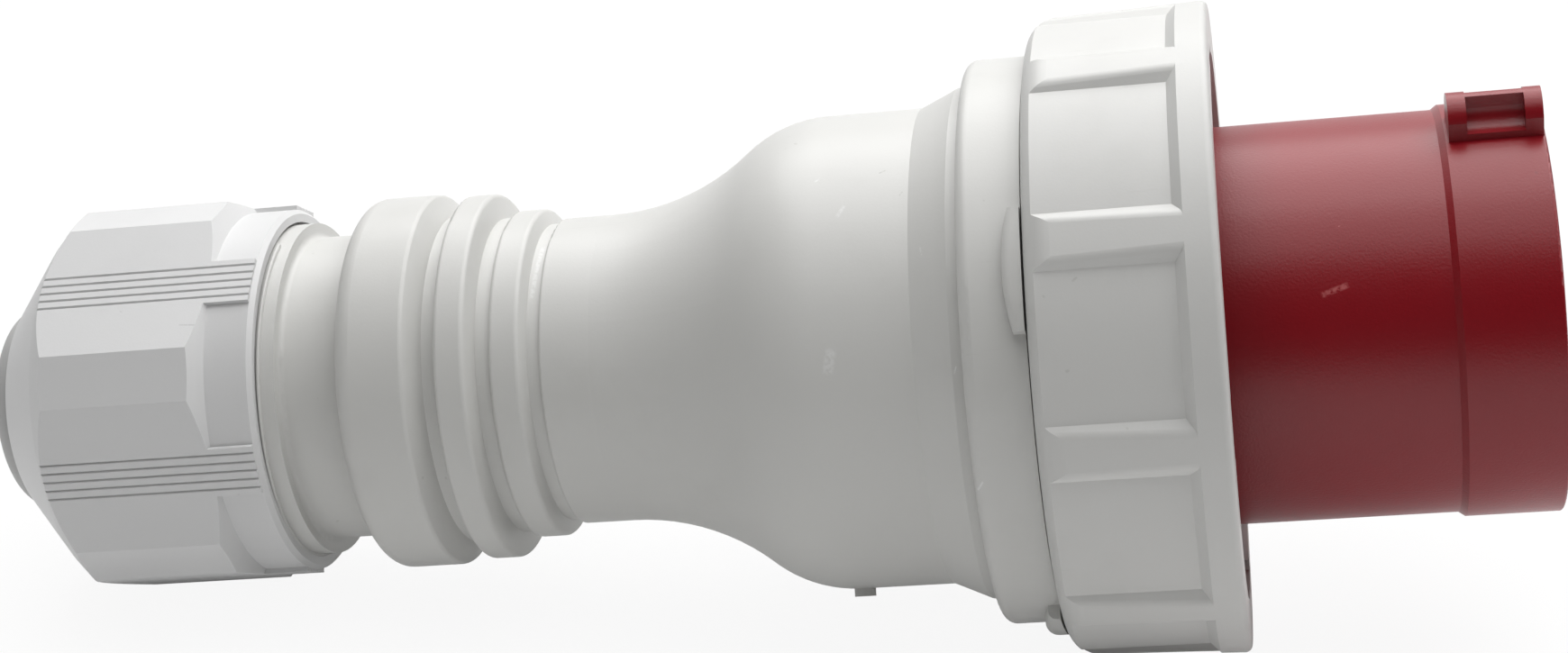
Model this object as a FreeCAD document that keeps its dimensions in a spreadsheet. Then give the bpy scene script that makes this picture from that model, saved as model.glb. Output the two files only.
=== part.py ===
import FreeCAD, Part
import math
import os
import Sketcher
from FreeCAD import Placement, Rotation, Vector

# An industrial plug, five poles, with a bayonet ring, a watertight housing and a cable gland.
# Each sub-part is built along X: the mouth points to +X, the key is at +Z, and X is 0 at the
# front face of the bayonet ring. At the end the plug lies on its ring and its gland nut.

DIMENSIONS = {
    # Bayonet ring
    "ring_depth": 31.1,
    "ring_room": 4.0,
    "ring_pocket_web": 4.9,
    "ring_rib_height": 1.0,
    "ring_outer_taper": 0.9,
    "ring_rear_round": 5.0,
    "ring_front_round": 1.2,
    "ring_rim_width": 5.3,
    "ring_pocket_slope": 1.7,
    "ring_rib_width": 9.2,
    "ring_rib_round": 2.0,
    "ring_lip_height": 2.2,
    "ring_lip_depth": 6.0,
    "ring_wall": 4.1,
    "ring_notch_width": 11.0,
    "ring_notch_web": 0.4,
    "ring_tab_angle": 10.0,
    "ring_tab_height": 1.7,
    "ring_turn": 40.0,
    "ring_turn_spare": 1.0,
    "ring_clock": -12.1,
    # Clearances, and how far a cut runs out of a piece or an added form runs into it
    "running_gap": 0.3,
    "fit_gap": 0.2,
    "over_cut": 2.0,
    "bite": 1.0,
    # Front body with its shroud, hub and flange
    "shroud_length": 53.6,
    "shroud_radius": 34.7,
    "shroud_wall": 3.7,
    "band_step": 0.8,
    "band_length": 16.1,
    "band_slope": 1.1,
    "mouth_round": 0.5,
    "base_front": 14.0,
    "base_wall": 6.0,
    "flange_thickness": 3.2,
    "flange_play": 0.8,
    "hub_rim": 5.0,
    "hub_length": 4.7,
    "spigot_step": 1.3,
    "spigot_wall": 3.9,
    "spigot_length": 13.6,
    # Key on the shroud
    "key_width": 8.6,
    "key_rise": 8.1,
    "key_top_radius": 4.5,
    "key_setback": 0.3,
    "key_length": 15.3,
    "key_web": 1.5,
    "key_foot_round": 3.0,
    "key_floor_rise": 1.0,
    "key_end_front": 2.9,
    "key_end_rear": 3.0,
    # Rear housing
    "collar_length": 10.8,
    "collar_height": 4.6,
    "collar_round": 2.0,
    "collar_step": 2.0,
    "flare_height": 3.0,
    "flare_length": 6.6,
    "bell_wall": 4.7,
    "bell_end": 67.6,
    "bell_shoulder": 23.0,
    "neck_blend": 42.0,
    "neck_wall": 4.2,
    "neck_bore": 23.5,
    "bell_bore_end": 62.0,
    "bell_bore_neck": 104.0,
    "rib_height_1": 6.1,
    "rib_height_2": 5.4,
    "rib_height_3": 2.0,
    "rib_floor_1": 2.1,
    "rib_floor_2": 0.9,
    "rib_start": 152.9,
    "rib_width_1": 12.6,
    "rib_slope_1": 2.5,
    "rib_gap_1": 3.0,
    "rib_width_2": 5.3,
    "rib_slope_2": 1.0,
    "rib_gap_2": 2.6,
    "rib_width_3": 5.2,
    "rib_round_1": 3.2,
    "rib_edge_round": 0.8,
    "neck_groove_depth": 0.8,
    "neck_groove_width": 2.2,
    "neck_edge_round": 0.6,
    "sleeve_root": 164.3,
    "sleeve_root_round": 1.0,
    "sleeve_end": 186.0,
    "sleeve_step": 2.7,
    # Lugs and the nub on the housing
    "lug_height": 2.4,
    "lug_half_width": 10.3,
    "lug_end": 2.0,
    "lug_bulge": 1.3,
    "lug_round": 1.4,
    "nub_place": 67.0,
    "nub_radius": 1.9,
    "nub_height": 1.4,
    # Gland nut
    "nut_gap": 14.6,
    "nut_length": 51.4,
    "nut_wall": 2.8,
    "nut_corner_rise": 2.5,
    "nut_blank_rise": 0.724,
    "nut_rim_step": 0.5,
    "nut_rim_length": 8.5,
    "nut_run_out": 2.4,
    "nut_cone_length": 14.3,
    "nut_cone_middle": 10.5,
    "nut_cone_drop": 0.7,
    "nut_tip_wall": 1.0,
    "nut_hole_play": 0.4,
    "nut_hole_length": 2.4,
    "nut_seat_play": 0.5,
    "thread_play": 0.5,
    "nut_shoulder_depth": 40.5,
    "nut_rim_chamfer": 0.8,
    "band_half_width": 4.6,
    "groove_pitch": 1.65,
    "groove_width": 0.75,
    "groove_depth": 0.4,
    "groove_over": 0.2,
    "nut_clock": 21.5,
    # Gland parts
    "washer_thickness": 1.5,
    "cage_play": 0.6,
    "cage_flange": 4.0,
    "cage_spigot": 6.0,
    "cage_finger_length": 9.7,
    "cage_finger_wall": 5.0,
    "cage_finger_taper": 1.0,
    "cage_slot": 1.6,
    "cage_slot_root": 0.6,
    "grommet_bore": 12.5,
    "grommet_wall": 6.3,
    "grommet_flange": 4.0,
    "grommet_out": 3.9,
    "grommet_round": 3.8,
    # Contacts and their carrier
    "carrier_length": 26.0,
    "contact_circle": 19.0,
    "pin_radius": 4.0,
    "pin_tip": 36.0,
    "earth_pin_radius": 5.0,
    "earth_pin_tip": 42.0,
    "pilot_pin_radius": 3.0,
    "pilot_pin_tip": 26.0,
    "pin_tip_ratio": 0.55,
    "pin_neck_width": 1.0,
    "pin_neck_depth": 0.4,
    "pin_shank_over": 0.3,
    "collar_width": 3.0,
    "collar_over": 2.0,
    "barrel_over": 2.8,
    "barrel_length": 20.0,
    "pilot_barrel_over": 1.8,
    "pilot_barrel_length": 28.0,
    "wire_wall": 2.2,
    "wire_depth": 15.0,
    "screw_radius": 3.0,
    "screw_length": 4.8,
    "screw_first": 9.5,
    "screw_pitch": 6.6,
    "pilot_screw_radius": 2.0,
    "pilot_screw_length": 3.4,
    "pilot_screw_place": 5.0,
    "driver_slot_width": 1.0,
    "driver_slot_depth": 1.1,
    # Screws, O-ring and face gasket
    "housing_screw_inset": 3.5,
    "housing_screw_radius": 2.0,
    "housing_screw_head": 3.4,
    "housing_screw_head_height": 2.4,
    "housing_screw_length": 14.0,
    "housing_screw_room": 0.5,
    "carrier_screw_inset": 6.4,
    "carrier_screw_radius": 1.75,
    "carrier_screw_head": 3.3,
    "carrier_screw_head_height": 2.6,
    "carrier_screw_bite": 3.5,
    "oring_section": 1.1,
    "oring_place": 7.0,
    "oring_groove_width": 3.0,
    "gasket_width": 2.4,
    "gasket_height": 3.0,
    # How the plug lies
    "rest_roll": 8.5,
}

CONTACT_ANGLES = {"earth": 90, "neutral": 162, "l3": 234, "l2": 306, "l1": 18}
PILOT_SCREW_ANGLE = 126
HOUSING_SCREW_ANGLES = (45, 135, 225, 315)
CARRIER_SCREW_ANGLES = (54, 126, 270)
RING_RIBS = 10
RING_NOTCHES = 4
STOPS = 2
STOP_ANGLE = 90
LUGS = 3
LUG_SPAN = 180
LUG_ANGLE = 45
NUB_ANGLE = -53
NUT_SIDES = 6
CAGE_FINGERS = 12
GROOVES_PER_BAND = 5
ALL_ROUND = 360
SAME_PLACE = 0.01
REST_STEPS = 8
OUTERMOST = ("bayonet_ring", "front_body", "gland_nut", "cable_grommet")


class Size:
    """A length from the sheet: its value and the expression that binds it there."""

    def __init__(self, value, text):
        self.value = value
        self.text = text

    def combine(self, other, sign, result):
        text = other.text if isinstance(other, Size) else repr(float(other))
        return Size(result, "(%s %s %s)" % (self.text, sign, text))

    def __add__(self, other):
        return self.combine(other, "+", self.value + number(other))

    def __sub__(self, other):
        return self.combine(other, "-", self.value - number(other))

    def __mul__(self, other):
        return self.combine(other, "*", self.value * number(other))

    def __truediv__(self, other):
        return self.combine(other, "/", self.value / number(other))

    def __neg__(self):
        return Size(-self.value, "(0 - %s)" % self.text)


def number(size):
    return size.value if isinstance(size, Size) else float(size)


def root(size):
    return Size(math.sqrt(size.value), "sqrt(%s)" % size.text)


class Sizes:
    """The driving dimensions, read by name from the spreadsheet."""

    def __init__(self, sheet):
        self.sheet = sheet

    def __getattr__(self, name):
        return Size(float(self.sheet.get(name)), "sizes.%s" % name)


def make_sheet(doc):
    sheet = doc.addObject("Spreadsheet::Sheet", "sizes")
    for row, (name, value) in enumerate(DIMENSIONS.items(), start=1):
        sheet.set("A%d" % row, name)
        sheet.set("B%d" % row, str(value))
        sheet.setAlias("B%d" % row, name)
    doc.recompute()
    return sheet


def bind(item, name, size):
    if isinstance(size, Size):
        item.setExpression(name, size.text)
    else:
        setattr(item, name, size)


def origin_feature(body, role):
    return [item for item in body.Origin.OriginFeatures if item.Role == role][0]


def new_body(doc, label):
    body = doc.addObject("PartDesign::Body", label)
    body.Label = label
    return body


def new_sketch(body, name, plane, offset=0, turn=0):
    """A sketch on an origin plane, moved out by offset or turned about X by turn degrees."""
    sketch = body.newObject("Sketcher::SketchObject", name)
    sketch.AttachmentSupport = [(origin_feature(body, plane), "")]
    sketch.MapMode = "FlatFace"
    rotation = Rotation(Vector(1, 0, 0), turn)
    across = -math.sin(math.radians(turn))
    along = math.cos(math.radians(turn))
    out = number(offset)
    sketch.AttachmentOffset = Placement(Vector(0, out * across, out * along), rotation)
    if isinstance(offset, Size):
        sketch.setExpression("AttachmentOffset.Base.y", (offset * across).text)
        sketch.setExpression("AttachmentOffset.Base.z", (offset * along).text)
    return sketch


def arc_between(start, end, radius, bulge_left):
    """The short arc from start to end, and whether its own direction is the other way."""
    chord = end - start
    half = chord.Length / 2
    left = Vector(-chord.y, chord.x, 0)
    left.normalize()
    height = math.sqrt(radius * radius - half * half)
    centre = (start + end) * 0.5 + left * (-height if bulge_left else height)
    angles = [math.atan2(end_point.y - centre.y, end_point.x - centre.x)
              for end_point in (start, end)]
    circle = Part.Circle(centre, Vector(0, 0, 1), radius)
    if bulge_left:
        return Part.ArcOfCircle(circle, angles[1], angles[0]), True
    return Part.ArcOfCircle(circle, angles[0], angles[1]), False


def closed_outline(sketch, corners, arcs=None):
    """Edges through the corners, each corner bound to its two coordinates.

    arcs maps the index of an edge to (radius, bulge_left), seen along the path."""
    arcs = arcs or {}
    first_edge = sketch.GeometryCount
    count = len(corners)
    points = [Vector(number(x), number(y), 0) for x, y in corners]
    start_ends = []
    shapes = []
    for index in range(count):
        start = points[index]
        end = points[(index + 1) % count]
        if index in arcs:
            radius, bulge_left = arcs[index]
            shape, swapped = arc_between(start, end, number(radius), bulge_left)
        else:
            shape, swapped = Part.LineSegment(start, end), False
        shapes.append(shape)
        start_ends.append((2, 1) if swapped else (1, 2))
    sketch.addGeometry(shapes, False)
    joins = []
    for index in range(count):
        after = (index + 1) % count
        joins.append(
            Sketcher.Constraint(
                "Coincident",
                first_edge + index,
                start_ends[index][1],
                first_edge + after,
                start_ends[after][0],
            )
        )
    sketch.addConstraint(joins)
    for index, corner in enumerate(corners):
        edge = first_edge + index
        place = start_ends[index][0]
        for kind, size in zip(("DistanceX", "DistanceY"), corner):
            value = number(size)
            new = sketch.addConstraint(Sketcher.Constraint(kind, -1, 1, edge, place, value))
            if isinstance(size, Size):
                sketch.setExpression("Constraints[%d]" % new, size.text)
    for index, (radius, _) in arcs.items():
        edge = first_edge + index
        new = sketch.addConstraint(Sketcher.Constraint("Radius", edge, number(radius)))
        if isinstance(radius, Size):
            sketch.setExpression("Constraints[%d]" % new, radius.text)
    return sketch


def circles(sketch, items):
    """Circles given as (x, y, radius), each bound in place and size."""
    for x, y, radius in items:
        centre = Vector(number(x), number(y), 0)
        edge = sketch.addGeometry(Part.Circle(centre, Vector(0, 0, 1), number(radius)), False)
        for kind, size in (("DistanceX", x), ("DistanceY", y)):
            new = sketch.addConstraint(Sketcher.Constraint(kind, -1, 1, edge, 3, number(size)))
            if isinstance(size, Size):
                sketch.setExpression("Constraints[%d]" % new, size.text)
        new = sketch.addConstraint(Sketcher.Constraint("Radius", edge, number(radius)))
        if isinstance(radius, Size):
            sketch.setExpression("Constraints[%d]" % new, radius.text)
    return sketch


def rectangle(x1, x2, y1, y2):
    return [(x1, y1), (x2, y1), (x2, y2), (x1, y2)]


def revolve(body, kind, name, corners, arcs=None, angle=ALL_ROUND, turn=0):
    """A turned solid or a turned cut about the X axis, from a profile of (x, radius)."""
    sketch = new_sketch(body, name + "_profile", "XY_Plane", turn=turn)
    closed_outline(sketch, corners, arcs)
    feature = body.newObject("PartDesign::" + kind, name)
    feature.Profile = sketch
    feature.ReferenceAxis = (sketch, ["H_Axis"])
    bind(feature, "Angle", angle)
    feature.Midplane = number(angle) < ALL_ROUND
    sketch.Visibility = False
    body.Document.recompute()
    return feature


def extrude(body, kind, name, sketch, length, reverse=False):
    feature = body.newObject("PartDesign::" + kind, name)
    feature.Profile = sketch
    feature.Reversed = reverse
    bind(feature, "Length", length)
    sketch.Visibility = False
    body.Document.recompute()
    return feature


def repeat(body, name, features, count, span=ALL_ROUND):
    """The features repeated evenly about the X axis."""
    pattern = body.newObject("PartDesign::PolarPattern", name)
    pattern.Originals = features
    pattern.Axis = (origin_feature(body, "X_Axis"), [""])
    pattern.Angle = span
    pattern.Occurrences = count
    body.Tip = pattern
    body.Document.recompute()
    return pattern


def round_edges(body, name, wanted, radius):
    """Fillets on every edge for which wanted says yes."""
    base = body.Tip
    edges = enumerate(base.Shape.Edges, start=1)
    names = ["Edge%d" % index for index, edge in edges if wanted(edge)]
    fillet = body.newObject("PartDesign::Fillet", name)
    fillet.Base = (base, names)
    bind(fillet, "Radius", radius)
    body.Document.recompute()


def round_rims(body, name, rims, radius):
    """Fillets on turned edges, each found by its place along X and its radius."""

    def on_rim(edge):
        if not isinstance(edge.Curve, Part.Circle):
            return False
        centre = edge.Curve.Center
        if math.hypot(centre.y, centre.z) > SAME_PLACE:
            return False
        return any(
            abs(centre.x - number(x)) < SAME_PLACE
            and abs(edge.Curve.Radius - number(rim)) < SAME_PLACE
            for x, rim in rims
        )

    round_edges(body, name, on_rim, radius)


def about(angle):
    """The unit direction at an angle round the axis: 90 is up, 0 is towards -Y."""
    return -math.cos(math.radians(angle)), math.sin(math.radians(angle))


def shroud_bore(s):
    return s.shroud_radius - s.shroud_wall


def band_radius(s):
    return s.shroud_radius + s.band_step


def key_height(s):
    return s.shroud_radius + s.key_rise


def spigot_bore(s):
    return s.shroud_radius - s.spigot_step


def bell_bore(s):
    return spigot_bore(s) + s.spigot_wall + s.fit_gap


def carrier_screw_circle(s):
    return spigot_bore(s) - s.carrier_screw_inset


def screw_circle(s):
    return bell_bore(s) + s.housing_screw_inset


def hub_radius(s):
    return screw_circle(s) + s.hub_rim


def ring_inner(s):
    return hub_radius(s) + s.ring_room


def ring_floor(s):
    return ring_inner(s) + s.ring_pocket_web


def ring_rear_radius(s):
    return ring_floor(s) + s.ring_rib_height


def bell_radius(s):
    return bell_bore(s) + s.bell_wall


def flare_radius(s):
    return bell_radius(s) + s.flare_height


def collar_radius(s):
    return flare_radius(s) + s.collar_height


def neck_radius(s):
    return s.neck_bore + s.neck_wall


def nut_bore(s):
    return neck_radius(s) + s.sleeve_step + s.thread_play


def nut_apothem(s):
    return nut_bore(s) + s.nut_wall


def grommet_radius(s):
    return s.grommet_bore + s.grommet_wall


def nut_hole_radius(s):
    return grommet_radius(s) + s.nut_hole_play


def cage_finger_radius(s):
    return grommet_radius(s) + s.fit_gap + s.cage_finger_wall


def hub_rear(s):
    return s.ring_depth + s.running_gap


def flange_rear(s):
    return hub_rear(s) - s.hub_length


def flange_front(s):
    return flange_rear(s) - s.flange_thickness


def carrier_rear(s):
    return s.base_front + s.base_wall + s.carrier_length


def nut_rim(s):
    return s.rib_start + s.nut_gap


def nut_tip(s):
    return nut_rim(s) + s.nut_length


def spun(x, y, angle):
    """A point of a sketch turned about its origin by angle degrees."""
    cosine = math.cos(math.radians(angle))
    sine = math.sin(math.radians(angle))
    return x * cosine - y * sine, x * sine + y * cosine


def bayonet_ring(doc, s):
    """A turned ring whose grip is ten slanted ribs between a front rim and a rounded rear."""
    body = new_body(doc, "bayonet_ring")
    rear = -s.ring_depth
    inner_wall = rear + s.ring_wall
    hub_bore = hub_radius(s) + s.running_gap
    floor = ring_floor(s)
    front_radius = ring_rear_radius(s) + s.ring_outer_taper
    blank_radius = front_radius + s.bite
    rim = -s.ring_rim_width
    rim_radius = front_radius - s.ring_outer_taper * s.ring_rim_width / s.ring_depth
    wall_slope = s.ring_pocket_slope / (rim_radius - floor)
    lip_radius = ring_inner(s) - s.ring_lip_height
    revolve(
        body,
        "Revolution",
        "ring_turned",
        [
            (rear, hub_bore),
            (rear, floor),
            (rim - s.ring_pocket_slope, floor),
            (rim + wall_slope * (blank_radius - rim_radius), blank_radius),
            (0, blank_radius),
            (0, lip_radius),
            (-s.ring_lip_depth, lip_radius),
            (-s.ring_lip_depth, ring_inner(s)),
            (inner_wall, ring_inner(s)),
            (inner_wall, hub_bore),
        ],
    )
    sketch = new_sketch(body, "rib_outline", "YZ_Plane", rear)
    half = s.ring_rib_width / 2
    depth = s.bite
    height = s.ring_rib_height + s.ring_outer_taper + s.bite / 2
    corners = [
        (half + depth, floor - depth),
        (half - height, floor + height),
        (height - half, floor + height),
        (-half - depth, floor - depth),
    ]
    turn = ALL_ROUND / RING_RIBS / 2
    closed_outline(sketch, [spun(x, y, turn) for x, y in corners])
    rib = extrude(body, "Pad", "ring_rib", sketch, s.ring_depth - s.ring_rim_width / 2)
    repeat(body, "ring_ribs", [rib], RING_RIBS)
    taper_over = s.ring_outer_taper * s.over_cut / s.ring_depth
    revolve(
        body,
        "Groove",
        "ring_outside",
        [
            (rear - s.over_cut, ring_rear_radius(s) - taper_over),
            (s.over_cut, front_radius + taper_over),
            (s.over_cut, blank_radius + s.over_cut),
            (rear - s.over_cut, blank_radius + s.over_cut),
        ],
    )
    round_rims(body, "ring_front_edge", [(0, front_radius)], s.ring_front_round)
    round_rib_edges(body, s, rear, rim)
    round_top = ring_rear_radius(s) + s.ring_outer_taper * s.ring_rear_round / s.ring_depth
    round_start = round_top - s.ring_rear_round
    revolve(
        body,
        "Groove",
        "ring_rear_edge",
        [
            (rear, round_start),
            (rear + s.ring_rear_round, round_top),
            (rear + s.ring_rear_round, round_top + s.over_cut),
            (rear - s.over_cut, round_top + s.over_cut),
            (rear - s.over_cut, round_start),
        ],
        {0: (s.ring_rear_round, True)},
    )
    sketch = new_sketch(body, "notch_outline", "YZ_Plane", -s.ring_lip_depth)
    half = s.ring_notch_width / 2
    notch_floor = ring_inner(s) - s.ring_notch_web
    closed_outline(sketch, rectangle(-half, half, lip_radius - s.over_cut, notch_floor))
    notch_depth = s.ring_lip_depth + s.over_cut
    notch = extrude(body, "Pocket", "ring_notch", sketch, notch_depth, reverse=True)
    repeat(body, "ring_notches", [notch], RING_NOTCHES)
    tab = revolve(
        body,
        "Revolution",
        "ring_tab",
        rectangle(rear, inner_wall, hub_bore - s.ring_tab_height, hub_bore + s.bite),
        angle=s.ring_tab_angle,
        turn=STOP_ANGLE,
    )
    repeat(body, "ring_tabs", [tab], STOPS)
    body.Placement = Placement(Vector(), Rotation(Vector(1, 0, 0), s.ring_clock.value))
    return body


def round_rib_edges(body, s, rear, rim):
    """Fillets along both top edges of every rib, from the rear face to the rim."""
    lowest = ring_floor(s).value + s.ring_rib_height.value / 2

    def on_rib(edge):
        ends = [vertex.Point for vertex in edge.Vertexes]
        high = all(math.hypot(end.y, end.z) > lowest for end in ends)
        places = sorted(end.x for end in ends)
        full = places[0] < rear.value + SAME_PLACE and places[-1] > rim.value - SAME_PLACE
        return high and full and places[-1] < rim.value + SAME_PLACE

    round_edges(body, "ring_rib_edges", on_rib, s.ring_rib_round)


def front_body(doc, s):
    body = new_body(doc, "front_body")
    mouth = s.shroud_length
    band_rear = mouth - s.band_length
    back = -(s.base_front + s.base_wall)
    groove_front = -hub_rear(s) - s.oring_place + s.oring_groove_width / 2
    groove_rear = groove_front - s.oring_groove_width
    groove_floor = bell_bore(s) - s.oring_section * 2 - s.fit_gap
    flange_radius = ring_inner(s) - s.flange_play
    spigot_radius = bell_bore(s) - s.fit_gap
    spigot_end = -hub_rear(s) - s.spigot_length
    revolve(
        body,
        "Revolution",
        "front_turned",
        [
            (back, 0),
            (-s.base_front, 0),
            (-s.base_front, shroud_bore(s)),
            (mouth, shroud_bore(s)),
            (mouth, band_radius(s)),
            (band_rear, band_radius(s)),
            (band_rear - s.band_slope, s.shroud_radius),
            (-flange_front(s), s.shroud_radius),
            (-flange_front(s), flange_radius),
            (-flange_rear(s), flange_radius),
            (-flange_rear(s), hub_radius(s)),
            (-hub_rear(s), hub_radius(s)),
            (-hub_rear(s), spigot_radius),
            (groove_front, spigot_radius),
            (groove_front, groove_floor),
            (groove_rear, groove_floor),
            (groove_rear, spigot_radius),
            (spigot_end, spigot_radius),
            (spigot_end, spigot_bore(s)),
            (back, spigot_bore(s)),
        ],
    )
    mouth_rims = [(mouth, band_radius(s)), (mouth, shroud_bore(s))]
    round_rims(body, "mouth_edges", mouth_rims, s.mouth_round)
    key_front = mouth - s.key_setback
    key_rear = key_front - s.key_length
    sketch = new_sketch(body, "key_outline", "YZ_Plane", key_rear)
    half = s.key_width / 2
    root_height = s.shroud_radius - s.shroud_wall / 2
    top = key_height(s) - half
    closed_outline(
        sketch,
        [(-half, root_height), (half, root_height), (half, top), (-half, top)],
        {2: (s.key_top_radius, False)},
    )
    extrude(body, "Pad", "key", sketch, s.key_length)
    sketch = new_sketch(body, "key_recess_outline", "YZ_Plane", key_rear + s.key_end_rear)
    web = s.key_web / 2
    floor = band_radius(s) + s.key_floor_rise
    closed_outline(
        sketch,
        [
            (web, key_height(s) + s.over_cut),
            (web, floor + s.key_foot_round),
            (web + s.key_foot_round, floor),
            (s.key_width, floor),
            (s.key_width, key_height(s) + s.over_cut),
        ],
        {1: (s.key_foot_round, False)},
    )
    recess_length = s.key_length - s.key_end_rear - s.key_end_front
    cut = extrude(body, "Pocket", "key_recess", sketch, recess_length, reverse=True)
    mirror = body.newObject("PartDesign::Mirrored", "key_recesses")
    mirror.Originals = [cut]
    mirror.MirrorPlane = (origin_feature(body, "XZ_Plane"), [""])
    body.Tip = mirror
    doc.recompute()
    sketch = new_sketch(body, "pin_holes_outline", "YZ_Plane", back)
    circles(sketch, contact_circles(s, s.pin_shank_over))
    extrude(body, "Pocket", "pin_holes", sketch, s.base_wall + s.over_cut, reverse=True)
    sketch = new_sketch(body, "carrier_screw_holes_outline", "YZ_Plane", back)
    circles(sketch, screw_circles(carrier_screw_circle(s), s.carrier_screw_radius,
                                  CARRIER_SCREW_ANGLES))
    extrude(body, "Pocket", "carrier_screw_holes", sketch, s.carrier_screw_bite, reverse=True)
    sketch = new_sketch(body, "housing_screw_holes_outline", "YZ_Plane", -hub_rear(s))
    circles(sketch, screw_circles(screw_circle(s), s.housing_screw_radius,
                                  HOUSING_SCREW_ANGLES))
    through = hub_rear(s) - flange_front(s) + s.over_cut
    extrude(body, "Pocket", "housing_screw_holes", sketch, through, reverse=True)
    head_seat = -flange_front(s) - s.housing_screw_head_height
    sketch = new_sketch(body, "housing_screw_seats_outline", "YZ_Plane", head_seat)
    circles(sketch, screw_circles(screw_circle(s), s.housing_screw_head,
                                  HOUSING_SCREW_ANGLES))
    seat_depth = s.housing_screw_head_height + s.over_cut
    extrude(body, "Pocket", "housing_screw_seats", sketch, seat_depth, reverse=True)
    slot_middle = STOP_ANGLE - s.ring_clock.value - s.ring_turn.value / 2
    slot = revolve(
        body,
        "Groove",
        "stop_slot",
        rectangle(
            -hub_rear(s) - s.over_cut,
            -flange_rear(s),
            hub_radius(s) - s.ring_tab_height,
            hub_radius(s) + s.over_cut,
        ),
        angle=s.ring_turn + s.ring_tab_angle + s.ring_turn_spare,
        turn=180 - slot_middle,
    )
    repeat(body, "stop_slots", [slot], STOPS)
    return body


def contact_circles(s, over):
    """Circles round the five contacts and the pilot, larger than each pin by over."""
    items = [(0, 0, s.pilot_pin_radius + over)]
    for name, angle in CONTACT_ANGLES.items():
        y, z = about(angle)
        radius = s.earth_pin_radius if name == "earth" else s.pin_radius
        items.append((s.contact_circle * y, s.contact_circle * z, radius + over))
    return items


def screw_circles(circle, radius, angles):
    items = []
    for angle in angles:
        y, z = about(angle)
        items.append((circle * y, circle * z, radius))
    return items


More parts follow.
